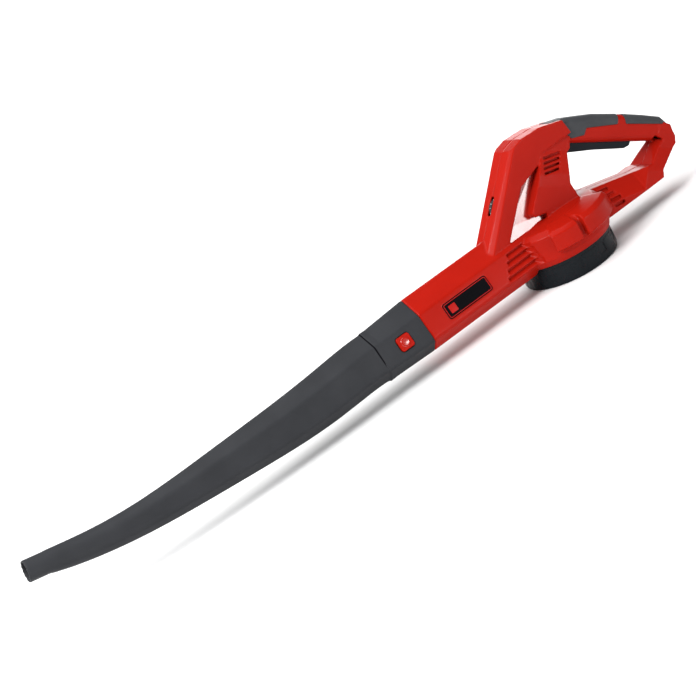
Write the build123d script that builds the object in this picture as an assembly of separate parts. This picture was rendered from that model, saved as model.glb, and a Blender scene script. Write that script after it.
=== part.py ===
"""Cordless leaf blower without its battery: a two-shell housing with a loop handle over a
centrifugal fan, a straight air duct and a long push-on tube whose end curves upward.

Frame: millimetres, +Z up along the fan's axis, origin at the centre of the intake guard's flat
underside, -X towards the tube's outlet, -Y is the tool's left side. The tool is mirror
symmetric about Y = 0 apart from its screws, dial parts and wiring.
"""
from build123d import *
from math import cos, hypot, pi, radians, sin
import os

# ---------------------------------------------------------------- driving dimensions
WALL = 2.5              # housing wall
GAP = 0.4               # running gap round moving pieces

# Air duct: one side of its six-sided section, as (y, z)
DUCT_RIDGE = (0.0, 87.2)
DUCT_SHOULDER = (22.8, 67.3)
DUCT_HIP = (31.6, 35.4)
DUCT_FOOT = (17.0, 20.6)
DUCT_FRONT = -211.5     # where the sleeve of the tube meets the housing
DUCT_ROOF_END = -82.0   # the ridge stops under the handle column
DUCT_ROOF_CUT = 70.5    # height of the roof behind the column
SPIGOT_END = -266.0     # the housing's spigot inside the sleeve

# Volute: radii and heights of the fan housing
RIM_R, RIM_Z = 60.0, 26.3
BELLY_R, BELLY_Z = 63.5, 34.0
BLOCK_R, BLOCK_Z = 72.0, 42.5
SHOULDER_Z = 61.5
DOME_Z = 72.0
VOLUTE_FLOOR = 29.0
BLOCK_ARCS = [(235, 27), (268.5, 51), (98, 27), (40.5, 51)]     # start and sweep of each block, degrees
VOLUTE_CEILING = 59.0
VOLUTE_INNER_R = 60.5
INLET_R = 36.0

# Handle: the grip runs down to the rear at this angle
GRIP_ANGLE = -29.3
G = (cos(radians(GRIP_ANGLE)), sin(radians(GRIP_ANGLE)))     # along the grip, as (x, z)
N = (-G[1], G[0])                                            # out of the grip's back
GRIP_HALF = 16.5
GRIP_ROUND = 8.5
COLUMN_HALF = 20.0
WEB_HALF = 9.0

GRIP_TOP = [(44, 158.8), (73, 151.5), (106, 137.0), (139, 118.2), (166, 101.0), (187, 86.5)]
NOSE = [(193.0, 73.0), (191.8, 58.0), (188.0, 51.0)]
COLUMN = [(-109.0, 64), (-15.4, 158.6), (4, 163.4), (31, 162.6), (62, 154.5), (66, 136), (20, 136), (12, 128),
          (-24, 117), (-67, 73.5), (-74, 60), (-109.0, 60)]
TOWER = [(-31, 86), (13, 130), (22, 139), (52, 150), (66, 136), (56, 121), (50, 119), (38, 100), (31.5, 89),
         (33.5, 70), (33.5, 55), (-14, 55), (-14, 77.5), (-29, 80.5)]
LEG = [(118, 27.3), (147.5, 27.3), (152, 35), (188, 51), (191.8, 58), (193, 73), (182, 84), (168, 66),
       (143.5, 48.6), (118, 51.9)]
LEG_ROOM = [(118, 29.8), (145.8, 29.8), (150.3, 37.0), (186.2, 53.0), (189.3, 58.8), (190.4, 72.0), (183.0, 80.0),
            (169.5, 64.2), (144.9, 46.6), (118, 49.4)]     # the leg's hollow
BEAM_TOP = [(10, 76.3), (139, 47.2)]
BEAM_SIDES = [(27.5, -60), (27.5, -22), (15.2, 0), (-15.2, 0), (-27.5, -22), (-27.5, -60)]   # (y, below the top)
WEB = [(-80, 62), (-60, 85), (-24, 120), (14, 132), (20, 120), (0, 75), (0, 62)]

# Widths of the tower and the beam against their distance s along N, as (s, half width)
FRAME_WIDTHS = [(40, 27.5), (90, 27.0), (104, 25.0), (131, 18.5), (150, 17.0), (190, 16.5)]

# Sleeve of the tube, over the spigot: the same six-sided section, smaller at its front end
SLEEVE_FRONT = -275.5
SLEEVE_REAR = DUCT_FRONT - 0.4
FRONT_RIDGE, FRONT_SHOULDER, FRONT_HIP, FRONT_FOOT = (0.0, 83.2), (20.7, 66.7), (29.0, 37.1), (16.0, 22.0)
SLEEVE_WALL = 2.5

# Tube: stations as (x, top z, bottom z, half width, share of the way to a round section)
TUBE_STATIONS = [(-274.0, 80.2, 22.6, 26.8, 0.0), (-350, 77.0, 21.6, 25.4, 0.1), (-425, 74.4, 24.6, 23.0, 0.25),
                 (-500, 73.6, 31.4, 20.0, 0.45), (-560, 74.0, 37.9, 17.4, 0.62), (-610, 77.4, 45.6, 15.4, 0.78),
                 (-650, 83.4, 54.4, 13.9, 0.9), (-692, 92.2, 67.4, 12.0, 1.0)]
TUBE_WALL = 2.0
TIP_ANGLE = 12.0
TIP_R = 12.0
TIP_LENGTH = 24.0
TIP_START = (-692.5, 80.0)

# Intake guard
GUARD_R = 58.0
GUARD_WALL = 2.5
GUARD_TOP = RIM_Z - 0.2

# Motor and fan, all on the Z axis
MOTOR_R = 18.0
MOTOR_BOTTOM, MOTOR_CAP, MOTOR_TOP = 54.0, 92.0, 98.0
SHAFT_R = 2.0
BEARING_R = 5.0
RUNNING = 0.05           # radial clearance of a running fit
FAN_R = 53.0
FAN_EYE_R = 22.0
FAN_BOTTOM, FAN_PLATE, FAN_TOP = 31.0, 46.0, 48.0
HUB_R, HUB_TOP, HUB_BOTTOM = 7.0, 50.5, 40.0
BLADES = 12
PLATE_BOTTOM = 56.0
CUP_BOTTOM, CUP_FLOOR = 51.8, 54.0

# Trigger
TRIGGER_PIVOT = (133.0, 91.5)
TRIGGER_HALF = 9.0
TRIGGER = [(55.5, 115.8), (91, 99.0), (127, 79.6), (134.5, 79.0), (139.5, 84.5), (137.5, 95.5), (128, 98.5),
           (92, 112.5), (64, 128.0), (60, 126.0)]

# Speed dial in the front of the column
COLUMN_ANGLE = 45.2
C = (cos(radians(COLUMN_ANGLE)), sin(radians(COLUMN_ANGLE)))   # up the column, as (x, z)
M = (-C[1], C[0])                                              # out of the column's front
DIAL_R = 14.0
DIAL_HALF = 2.6
DIAL_CENTRE = (-49.5, 104.5)

# Latch button in the sleeve's left side, on an axis square to the duct's side face
SIDE_TILT = 16.0
BUTTON_X, BUTTON_Y, BUTTON_Z = -242.0, 26.2, 52.5
BUTTON_WIDE, BUTTON_HIGH = 17.4, 16.6
BUTTON_TRAVEL = 3.5
PLATE_LONG, PLATE_HIGH = 64.0, 19.0     # name plate on the left side of the duct

# Louvres in the duct's sides and slots in the beam's sides, the slots as (x, z, length)
LOUVRE_TOP, LOUVRE_PITCH = 64.2, 7.4
LOUVRE_FRONT, LOUVRE_REAR = -82.5, -45.0
REAR_VENTS = [(67.5, 56.5, 20), (73.5, 48.8, 16), (77.0, 41.6, 16), (77.5, 34.6, 15)]

# Battery channel under the rear of the frame
BAY_X0, BAY_X1, BAY_HALF, BAY_ROOF = 84.0, 147.0, 21.5, 38.5

# Housing screws across Y, as (x, z, y of the seat under the head)
SCREWS = [(-67, 88.5, 8), (-8, 147, 8), (29, 149, 8), (148, 103, 7), (177, 72, 7), (158, 44, 10), (-190, 27.5, 9),
          (-112, 27.5, 9), (-24.5, 86, 10)]


# ---------------------------------------------------------------- helpers
def outline(points, radius=0.0):
    """A closed outline as a face, in its own plane's coordinates."""
    wire = FilletPolyline(*points, radius=radius, close=True) if radius else Polyline(*points, close=True)
    return make_face(wire)


def prism(points, half_width, radius=0.0):
    """An outline in X and Z, thickened to both sides of Y = 0."""
    return extrude(Plane.XZ * outline(points, radius), amount=half_width, both=True)


def along_x(points, x0, x1, radius=0.0):
    """An outline in Y and Z, drawn out from x0 to x1."""
    return extrude(Plane.YZ.offset(x0) * outline(points, radius), amount=x1 - x0)


def mirrored(half):
    """A closed outline from its right half, listed from the top to the bottom."""
    return half + [(-y, z) for y, z in reversed(half) if y > 0]


def block(x0, x1, y0, y1, z0, z1):
    return Pos((x0 + x1) / 2, (y0 + y1) / 2, (z0 + z1) / 2) * Box(x1 - x0, y1 - y0, z1 - z0)


def post(r, z0, z1, x=0.0, y=0.0):
    return Pos(x, y, (z0 + z1) / 2) * Cylinder(r, z1 - z0)


def cross_pin(r, x, z, y0, y1):
    return Pos(x, (y0 + y1) / 2, z) * Rot(90, 0, 0) * Cylinder(r, y1 - y0)


def spun(points, arc=360.0, start=0.0):
    """An outline of (r, z) turned about Z."""
    face = Plane.XZ * make_face(Polyline(*points, close=True))
    return Rot(0, 0, start) * revolve(face, axis=Axis.Z, revolution_arc=arc)


def grip_point(along, out):
    """A point (x, z) given along the grip and out of its back."""
    return (along * G[0] + out * N[0], along * G[1] + out * N[1])


GRIP_PLANE = Plane(origin=(0, 0, 0), x_dir=(G[0], 0, G[1]), z_dir=(0, -1, 0))
ACROSS_GRIP = Plane(origin=(0, 0, 0), x_dir=(0, 1, 0), z_dir=(G[0], 0, G[1]))


# ---------------------------------------------------------------- housing shapes
def shield(inset=0.0, top=None):
    """The duct's section, drawn in by inset, as points (y, z)."""
    ridge = (0.0, DUCT_RIDGE[1] - inset * 1.3)
    shoulder = (DUCT_SHOULDER[0] - inset, DUCT_SHOULDER[1] - inset * 0.5)
    hip = (DUCT_HIP[0] - inset, DUCT_HIP[1] + inset * 0.35)
    foot = (DUCT_FOOT[0] - inset * 0.4, DUCT_FOOT[1] + inset)
    if top is None:
        return mirrored([ridge, shoulder, hip, foot])
    slope = (ridge[1] - shoulder[1]) / shoulder[0]
    flat = (shoulder[0] - (top - shoulder[1]) / slope, top)
    return mirrored([flat, shoulder, hip, foot])


def duct(inset=0.0):
    front = along_x(shield(inset), DUCT_FRONT, DUCT_ROOF_END, radius=5.0)
    rear = along_x(shield(inset, DUCT_ROOF_CUT - inset), DUCT_ROOF_END - 1, -10, radius=3.5)
    return front + rear


def volute_skin():
    bowl = spun([(0, RIM_Z), (RIM_R, RIM_Z), (BELLY_R, BELLY_Z), (BELLY_R, SHOULDER_Z), (57, 67.5),
                 (30, DOME_Z), (0, DOME_Z)])
    bowl = fillet(bowl.edges().filter_by(GeomType.CIRCLE).filter_by(lambda e: e.radius > 29 and e.center().Z > 30),
                  3.0)
    pad = [(57, BLOCK_Z - 4), (62, BLOCK_Z - 4), (BLOCK_R, BLOCK_Z), (BLOCK_R, SHOULDER_Z), (68, SHOULDER_Z + 4.5),
           (45, SHOULDER_Z + 8.5), (45, 50), (57, 45)]
    skin = bowl
    for start, arc in BLOCK_ARCS:
        block_pad = spun(pad, arc, start)
        skin += fillet(block_pad.edges().filter_by(lambda e: e.length > 10 and hypot(e.center().X, e.center().Y) > 66
                                                   and abs(e.tangent_at(0.5).Z) < 0.9), 1.6)
    return skin


def frame_body(outline_points, inset=0.0, room=None):
    """A side outline cut to the width profile of the handle's lower frame; room is the hollow's own outline."""
    right = [(w - inset, s) for s, w in FRAME_WIDTHS]
    left = [(-w + inset, s) for s, w in reversed(FRAME_WIDTHS)]
    widths = extrude(ACROSS_GRIP * make_face(Polyline(*(right + left), close=True)), amount=400, both=True)
    face = outline(room or outline_points)
    if inset and not room:
        face = offset(face, -inset, kind=Kind.INTERSECTION)
    return extrude(Plane.XZ * face, amount=40, both=True) & widths


def beam_body(inset=0.0):
    """The beam over the battery foot: a flat top with sides that slope outward."""
    (x0, z0), (x1, z1) = BEAM_TOP
    face = outline([(x0, 27.3 + inset), (143 - inset, 27.3 + inset), (143 - inset, z1 - 1 - inset), (x1, z1 - inset),
                    (x0, z0 - inset)])
    run = hypot(x1 - x0, z1 - z0)
    along, up = ((x1 - x0) / run, (z1 - z0) / run), ((z0 - z1) / run, (x1 - x0) / run)
    across = Plane(origin=(x0, 0, z0), x_dir=(0, 1, 0), z_dir=(-along[0], 0, -along[1]))
    sides = [(y - inset * (1 if y > 0 else -1), -depth) for y, depth in BEAM_SIDES]
    return extrude(Plane.XZ * face, amount=40, both=True) & extrude(across * outline(sides), amount=300, both=True)


def leg_edge_cuts(grow=0.0):
    """Wedges that round the leg's inner edges into the grip's underside, grown inward by grow."""
    low, high = Vector(140.3, 0, 46.3), Vector(171.0, 0, 68.1)
    out = Vector(-(high - low).Z, 0, (high - low).X).normalized()
    cuts = None
    for side in (-1, 1):
        faces = []
        for foot, half, depth, reach in ((low, 25.0, 0.8 + grow, 0.8 + grow), (high, 16.0, 9.0 + grow, 11.0 + grow)):
            corner = [foot + Vector(0, side * (half + 6), 0) - out * depth, foot + Vector(0, side * (half + 6), 0)
                      + out * 6, foot + Vector(0, side * (half - reach), 0) + out * 6,
                      foot + Vector(0, side * (half - reach), 0)]
            faces.append(make_face(Polyline(*corner, close=True)))
        cut = loft(faces, ruled=True)
        cuts = cut if cuts is None else cuts + cut
    return cuts


def leg_body(inset=0.0):
    """The rear leg, which starts flush with the beam's sloping sides and widens to the rear."""
    leg = frame_body(LEG, inset, LEG_ROOM if inset else None)
    slope = (BEAM_SIDES[1][0] - BEAM_SIDES[2][0]) / (BEAM_SIDES[2][1] - BEAM_SIDES[1][1])
    for side in (-1, 1):
        faces = []
        for x, z, y, drop in ((116.0, 52.4, BEAM_SIDES[2][0], (36 - BEAM_SIDES[2][0]) / slope), (150.0, 54.0, 24.5, 5)):
            corner = [(side * (y - inset), z), (side * (y - inset), z + 9), (side * 36, z + 9), (side * 36, z - drop)]
            faces.append(Plane.YZ.offset(x) * outline(corner))
        leg -= loft(faces, ruled=True)
    return leg


def grip_body(grow=0.0):
    """The rounded grip with the rear nose, grown outward by grow."""
    under = [(181, 60), (168, 66), (163.5, 68.3), (66, 122), (50, 130)]
    face = outline(GRIP_TOP + NOSE[:2] + under)
    if grow:
        face = offset(face, grow, kind=Kind.INTERSECTION)
    bar = extrude(Plane.XZ * face, amount=GRIP_HALF + grow, both=True)
    long_edges = bar.edges().filter_by(lambda e: abs(abs(e.center().Y) - GRIP_HALF - grow) < 0.01)
    return fillet(long_edges, GRIP_ROUND + grow)


def section_mix(share, inset):
    """The sleeve's section between its rear end (0) and its front end (1), drawn in by inset."""
    rear = [DUCT_RIDGE, DUCT_SHOULDER, DUCT_HIP, DUCT_FOOT]
    front = [FRONT_RIDGE, FRONT_SHOULDER, FRONT_HIP, FRONT_FOOT]
    ridge, shoulder, hip, foot = [(a[0] + (b[0] - a[0]) * share, a[1] + (b[1] - a[1]) * share)
                                  for a, b in zip(rear, front)]
    return mirrored([(0.0, ridge[1] - inset * 1.3), (shoulder[0] - inset, shoulder[1] - inset * 0.5),
                     (hip[0] - inset, hip[1] + inset * 0.35), (foot[0] - inset * 0.4, foot[1] + inset)])


def sleeve_solid(x0, x1, inset, radius=5.0):
    """A stretch of the tapering sleeve section between two places along X."""
    faces = []
    for x in (x0, x1):
        share = (DUCT_FRONT - x) / (DUCT_FRONT - SLEEVE_FRONT)
        faces.append(Plane.YZ.offset(x) * outline(section_mix(share, inset), radius - inset * 0.4))
    return loft(faces, ruled=True)


def tube_face(station, inset):
    """One tube section: the duct's seven-cornered shape eased into a regular one round a circle."""
    x, top, bottom, half, share = station
    middle, reach = (top + bottom) / 2, (top - bottom) / 2
    shape = [(0.0, 1.09), (0.80, 0.52), (1.06, -0.50), (0.58, -1.0)]
    corner = 1.0 / cos(pi / 7)
    turn = [(corner * sin(2 * pi * k / 7), corner * cos(2 * pi * k / 7)) for k in range(4)]
    half_points = []
    for (a, b), (c, d) in zip(shape, turn):
        y = (a + (c - a) * share) * (half - inset)
        z = middle + (b + (d - b) * share) * (reach - inset)
        half_points.append((max(y, 0.0), z))
    radius = 5.0 + (TIP_R * 0.93 - 5.0) * share ** 1.5 - inset * (0.4 + 0.55 * share)
    lean = TIP_ANGLE * min(1.0, max(0.0, (-500 - x) / 192)) ** 1.2
    plane = Plane(origin=(x, 0, middle), x_dir=(0, 1, 0), z_dir=(cos(radians(lean)), 0, -sin(radians(lean))))
    return plane * outline([(y, z - middle) for y, z in mirrored(half_points)], radius)


TIP_AXIS = (-cos(radians(TIP_ANGLE)), sin(radians(TIP_ANGLE)))


def tip_cylinder(r, start, length):
    plane = Plane(origin=(TIP_START[0] + TIP_AXIS[0] * start, 0, TIP_START[1] + TIP_AXIS[1] * start),
                  x_dir=(0, 1, 0), z_dir=(TIP_AXIS[0], 0, TIP_AXIS[1]))
    return extrude(plane * Circle(r), amount=length)


SIDE_PLANE = Plane(origin=(BUTTON_X, -BUTTON_Y, BUTTON_Z), x_dir=(1, 0, 0),
                   z_dir=(0, -cos(radians(SIDE_TILT)), sin(radians(SIDE_TILT))))


def on_side(x, up, shape, out0, out1, tilt_plane=SIDE_PLANE):
    """A flat shape on the duct's left side face, standing from out0 to out1 out of the face."""
    place = tilt_plane * Pos(x, up, out0)
    return extrude(place * shape, amount=out1 - out0)


# ---------------------------------------------------------------- tube
def make_blow_tube():
    outer = sleeve_solid(SLEEVE_REAR, SLEEVE_FRONT, 0.0)
    outer += loft([tube_face(station, 0.0) for station in TUBE_STATIONS])
    outer += tip_cylinder(TIP_R, -1.0, TIP_LENGTH + 1.0)
    bore = sleeve_solid(SLEEVE_REAR + 5, SLEEVE_FRONT + 6, SLEEVE_WALL)
    first = (TUBE_STATIONS[0][0] + 8,) + TUBE_STATIONS[0][1:]
    bore += loft([tube_face(station, TUBE_WALL) for station in [first] + TUBE_STATIONS[1:]])
    bore += tip_cylinder(TIP_R - TUBE_WALL, -2.0, TIP_LENGTH + 4.0)
    window = on_side(0, 0, RectangleRounded(BUTTON_WIDE + 2 * GAP, BUTTON_HIGH + 2 * GAP, 3.4), -9, 6)
    return outer - bore - window


# ---------------------------------------------------------------- latch
def make_latch_button():
    head = on_side(0, 0, RectangleRounded(BUTTON_WIDE, BUTTON_HIGH, 3.0), -2.6, 0.7)
    head = fillet(head.edges().group_by(lambda e: round(SIDE_PLANE.to_local_coords(e.center()).Z, 2))[-1], 0.8)
    dome = on_side(0, 0, Circle(5.2), 0.6, 1.3)
    stem = on_side(0, 0, Circle(5.0), -8.6, -2.5)
    return head + dome + stem - on_side(0, 0, Circle(3.4), -8.7, -4.0)


def make_latch_spring():
    """The coil behind the latch button, drawn at its pressed length."""
    height, turns = 4.2, 4
    wire = Helix(pitch=height / turns, height=height, radius=2.5)
    coil = sweep(Plane(origin=wire @ 0, z_dir=wire % 0) * Circle(0.32), path=wire)
    return SIDE_PLANE * Pos(0, 0, -12.15) * coil


def latch_pocket():
    walls = on_side(0, 0, RectangleRounded(BUTTON_WIDE + 5, BUTTON_HIGH + 5, 4), -8.2, -3.4)
    walls += on_side(0, 0, Circle(7.4), -14.2, -8.0)
    room = on_side(0, 0, RectangleRounded(BUTTON_WIDE + 2 * GAP, BUTTON_HIGH + 2 * GAP, 3.4), -6.5, 8)
    room += on_side(0, 0, Circle(5.0 + GAP), -12.6, -6.0)
    return walls, room


# ---------------------------------------------------------------- grip pads
PAD_FRONT = [(-38, 178), (-38, 164.5), (-6.7, 143.9), (10.7, 147.6), (13.7, 155.5), (57.3, 159.2), (60.5, 178)]
PAD_REAR = [(69.3, 159.4), (120, 158.6), (128.7, 160), (133, 170), (130, 178), (66.5, 178)]


def make_pad(region):
    band = grip_body(0.7) - grip_body(-1.1)
    cut = extrude(GRIP_PLANE * outline(region, 1.2), amount=40, both=True)
    pieces = (band & cut).solids()
    return max(pieces, key=lambda piece: piece.volume)


# ---------------------------------------------------------------- trigger
def make_trigger():
    lever = prism(TRIGGER, TRIGGER_HALF)
    lever = fillet(lever.edges().filter_by(lambda e: abs(abs(e.center().Y) - TRIGGER_HALF) < 0.01
                                           and e.center().X * N[0] + e.center().Z * N[1] < 135), 1.6)
    return lever - cross_pin(2.0 + RUNNING, *TRIGGER_PIVOT, -20, 20)


def trigger_room():
    grown = offset(outline(TRIGGER), 0.6, kind=Kind.INTERSECTION)
    room = None
    for angle in (0, 2.5, 5, 7.5):
        turned = Pos(TRIGGER_PIVOT[0], TRIGGER_PIVOT[1]) * Rot(0, 0, -angle) * Pos(-TRIGGER_PIVOT[0],
                                                                                 -TRIGGER_PIVOT[1]) * grown
        swept = extrude(Plane.XZ * turned, amount=TRIGGER_HALF + GAP, both=True)
        room = swept if room is None else room + swept
    return room


def make_trigger_pin():
    return cross_pin(2.0, *TRIGGER_PIVOT, -13.5, 13.5)


# ---------------------------------------------------------------- speed dial
def make_speed_dial():
    wheel = cross_pin(DIAL_R, *DIAL_CENTRE, -DIAL_HALF, DIAL_HALF)
    teeth = None
    count = 40
    for k in range(count):
        angle = 2 * pi * k / count
        notch = cross_pin(0.55, DIAL_CENTRE[0] + DIAL_R * cos(angle), DIAL_CENTRE[1] + DIAL_R * sin(angle), -3, 3)
        teeth = notch if teeth is None else teeth + notch
    return wheel - teeth - cross_pin(2.0 + RUNNING, *DIAL_CENTRE, -5, 5)


def make_speed_sensor():
    x, z = DIAL_CENTRE
    body = block(x - 6, x + 6, 3.3, 8.6, z - 6, z + 6)
    return body + cross_pin(2.0, x, z, -DIAL_HALF - 0.6, 3.4)


# ---------------------------------------------------------------- motor and fan
def make_motor_can():
    can = post(MOTOR_R, MOTOR_BOTTOM, MOTOR_CAP) - post(MOTOR_R - 1.6, MOTOR_BOTTOM + 1.6, MOTOR_CAP + 1)
    can += post(7.0, MOTOR_BOTTOM, MOTOR_BOTTOM + 4)
    return can - post(BEARING_R, MOTOR_BOTTOM - 1, MOTOR_BOTTOM + 5)


def make_magnets():
    magnets = spun([(13.9, 60), (16.4, 60), (16.4, 84), (13.9, 84)], 130, -65)
    return magnets + spun([(13.9, 60), (16.4, 60), (16.4, 84), (13.9, 84)], 130, 115)


def make_end_cap():
    cap = post(MOTOR_R, MOTOR_CAP, MOTOR_TOP) - post(MOTOR_R - 3, MOTOR_CAP - 1, MOTOR_TOP - 3)
    cap += post(7.5, MOTOR_CAP, MOTOR_TOP)
    cap += block(-4, 4, -15.6, -8.2, 84.0, 92.5) + block(-4, 4, 8.2, 15.6, 84.0, 92.5)
    cap -= block(-2.5, 2.5, -20, 20, 85.5, 90.5)
    return cap - post(BEARING_R, MOTOR_CAP - 1, MOTOR_TOP - 1) - post(2.8, MOTOR_CAP, MOTOR_TOP + 1)


def make_brushes():
    return block(-2.5, 2.5, -15, -5.15, 85.5, 90.5) + block(-2.5, 2.5, 5.15, 15, 85.5, 90.5)


def make_bearing(z0):
    ring = post(BEARING_R, z0, z0 + 4)
    return ring - post(SHAFT_R + RUNNING, z0 - 1, z0 + 5)


def make_shaft():
    return post(SHAFT_R, 34.5, MOTOR_TOP - 1.4)


def make_armature():
    core = post(12.8, 61, 82)
    slots = None
    for k in range(5):
        slot = Rot(0, 0, 72 * k) * (post(3.0, 60, 83, x=8.6) + block(9, 14, -0.8, 0.8, 60, 83))
        slots = slot if slots is None else slots + slot
    return core - slots - post(SHAFT_R, 60, 83)


def make_windings():
    winding = None
    for k in range(5):
        turn = Rot(0, 0, 72 * k) * post(2.8, 59.6, 83.4, x=8.6)
        winding = turn if winding is None else winding + turn
    return winding


def make_commutator():
    barrel = post(5.0, 84.0, 91.4) - post(SHAFT_R, 83, 92)
    for k in range(5):
        barrel -= Rot(0, 0, 72 * k) * block(4.4, 6, -0.25, 0.25, 85, 92)
    return barrel


def make_impeller():
    wheel = post(FAN_R, FAN_PLATE, FAN_TOP) + post(HUB_R, HUB_BOTTOM, HUB_TOP)
    inner, outer = FAN_EYE_R, FAN_R - 0.5
    curve = ThreePointArc((inner, 0), ((inner + outer) / 2, 6.5), (outer, 2))
    blade = Plane.XY.offset(FAN_BOTTOM) * trace(curve, 1.4)
    blade = extrude(blade, amount=FAN_PLATE - FAN_BOTTOM + 0.5)
    for k in range(BLADES):
        wheel += Rot(0, 0, 360 * k / BLADES) * blade
    return wheel - post(SHAFT_R, HUB_BOTTOM - 1, HUB_TOP + 1)


def make_fan_nut():
    nut = Pos(0, 0, 36.4) * extrude(RegularPolygon(3.7, 6), amount=3.6)
    return nut - post(SHAFT_R, 36, 41)


def make_motor_plate():
    plate = post(VOLUTE_INNER_R - 0.1, PLATE_BOTTOM, VOLUTE_CEILING)
    plate += post(MOTOR_R + 2.2, CUP_BOTTOM, VOLUTE_CEILING + 4)
    plate -= post(MOTOR_R, CUP_FLOOR, VOLUTE_CEILING + 5) + post(9.0, CUP_BOTTOM - 1, CUP_FLOOR + 1)
    for side in (-1, 1):
        plate -= post(1.5, CUP_BOTTOM - 1, CUP_FLOOR + 1, x=13 * side)
    return plate


def make_motor_screws():
    screws = None
    for side in (-1, 1):
        screw = post(1.5, CUP_BOTTOM - 0.1, MOTOR_BOTTOM, x=13 * side) + post(2.7, CUP_BOTTOM - 1.8, CUP_BOTTOM,
                                                                             x=13 * side)
        screws = screw if screws is None else screws + screw
    return screws


# ---------------------------------------------------------------- intake
def make_intake_ring():
    ring = post(GUARD_R, 0, RIM_Z)
    ring = fillet(ring.edges().group_by(Axis.Z)[0], 1.6)
    ring -= post(GUARD_R - GUARD_WALL, -1, RIM_Z + 1)
    ring += post(GUARD_R - 2, 0, 3.4) - post(GUARD_R - 5, -1, 4)
    for angle in range(15, 375, 30):
        ring -= Rot(0, 0, angle) * block(GUARD_R - 0.7, GUARD_R + 2, -7, 7, 9, 20)
    for angle in (20, 140, 260):
        ring += Rot(0, 0, angle) * (post(3.6, 1.2, RIM_Z, x=51.5) + block(51.5, 56, -1.5, 1.5, 1.2, RIM_Z))
        ring -= Rot(0, 0, angle) * (post(1.6, 0, RIM_Z + 1, x=51.5) + post(2.9, 0, 4.4, x=51.5))
    return ring


def make_intake_grille():
    grille = post(7, 0, 5)
    for r in (15, 23, 31, 39):
        grille += post(r, 3.4, 5) - post(r - 1.4, 3, 6)
    grille += post(47, 3.4, 5) - post(44.6, 3, 6)
    for k in range(18):
        grille += Rot(0, 0, 20 * k + 10) * block(5, 46, -0.8, 0.8, 3.4, 5)
    for angle in (80, 200, 320):
        grille += Rot(0, 0, angle) * block(45, GUARD_R - GUARD_WALL - 0.2, -4, 4, 3.4, 5)
    return grille


def make_inlet_cone():
    """The bellmouth that leads the air from the guard into the fan's eye."""
    return spun([(INLET_R + 8, RIM_Z - 1.6), (INLET_R + 8, RIM_Z), (INLET_R, RIM_Z), (INLET_R - 5, 30.2),
                 (INLET_R - 6.5, 30.2), (INLET_R - 2.5, RIM_Z - 1.6)])


def make_guard_screws():
    screws = None
    for angle in (20, 140, 260):
        screw = Rot(0, 0, angle) * (post(1.6, 2, 28.7, x=51.5) + post(2.8, 2, 4.4, x=51.5))
        screws = screw if screws is None else screws + screw
    return screws


# ---------------------------------------------------------------- battery bay and electrics
def make_battery_rails():
    rails = block(BAY_X0, BAY_X1, -BAY_HALF, BAY_HALF, 27.3, BAY_ROOF)
    rails -= block(BAY_X0 + 3, BAY_X1 + 1, -BAY_HALF + 2.5, BAY_HALF - 2.5, 30.3, BAY_ROOF - 1.6)
    rails -= block(BAY_X0 + 3, BAY_X1 + 1, -BAY_HALF + 6, BAY_HALF - 6, 27, 32)
    for y in (-9, 9):
        rails -= block(BAY_X0 + 3, BAY_X0 + 7, y - 1.6, y + 1.6, BAY_ROOF - 2, BAY_ROOF + 1)
    return rails


def make_terminal_block():
    body = block(BAY_X0 + 3, BAY_X0 + 10, -14, 14, 28.8, BAY_ROOF - 1.6)
    for y in (-9, 0, 9):
        body -= block(BAY_X0 + 4.5, BAY_X0 + 11, y - 0.5, y + 0.5, 30.3, 35.8)
    return body


def make_contact_blades():
    blades = [block(BAY_X0 + 4.5, BAY_X0 + 21, y - 0.5, y + 0.5, 30.3, 35.8) for y in (-9, 0, 9)]
    return blades[0] + blades[1] + blades[2]


BOARD_Z = 41.5
BOARD_X0, BOARD_X1 = 72.0, 118.0


def make_control_board():
    return block(BOARD_X0, BOARD_X1, -17, 17, BOARD_Z, BOARD_Z + 1.6)


def make_board_parts():
    top = BOARD_Z + 1.6
    parts = post(4.0, top, top + 8, x=82, y=-5) + post(4.0, top, top + 8, x=82, y=5)
    parts += block(91, 100, -11, -7, top, top + 6) + block(91, 100, -3, 1, top, top + 6)
    parts += block(93, 100, 5, 12, top, top + 1.2) + block(105, 112, -10, 10, top, top + 2.6)
    return parts


def make_board_posts():
    """Four spacers under the control board, down to the roof of the battery rails."""
    posts = [block(x - 2.5, x + 2.5, y - 2.5, y + 2.5, BAY_ROOF, BOARD_Z) for x in (90, 114) for y in (-13, 13)]
    return posts[0] + posts[1] + posts[2] + posts[3]


SWITCH_S, SWITCH_N = (12.0, 40.0), (151.5, 163.0)


def grip_block(s0, s1, n0, n1, y0, y1):
    return GRIP_PLANE * Pos((s0 + s1) / 2, (n0 + n1) / 2, -(y0 + y1) / 2) * Box(s1 - s0, n1 - n0, y1 - y0)


def make_switch():
    body = grip_block(*SWITCH_S, *SWITCH_N, -8, 8)
    body += grip_block(SWITCH_S[0] - 4, SWITCH_S[0], 157, 158, -3, 3)
    body += grip_block(SWITCH_S[1], SWITCH_S[1] + 4, 157, 158, -3, 3)
    return body


def make_trigger_spring():
    """The torsion spring wound round the trigger's pin beside the lever."""
    wire = Helix(pitch=0.8, height=2.4, radius=3.0)
    coil = sweep(Plane(origin=wire @ 0, z_dir=wire % 0) * Circle(0.35), path=wire)
    return Pos(TRIGGER_PIVOT[0], -9.9, TRIGGER_PIVOT[1]) * Rot(90, 0, 0) * coil


WIRE_R = 0.9


def wire(points, r=WIRE_R):
    path = Spline(*points)
    return sweep(Plane(origin=path @ 0, z_dir=path % 0) * Circle(r), path=path)


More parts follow.
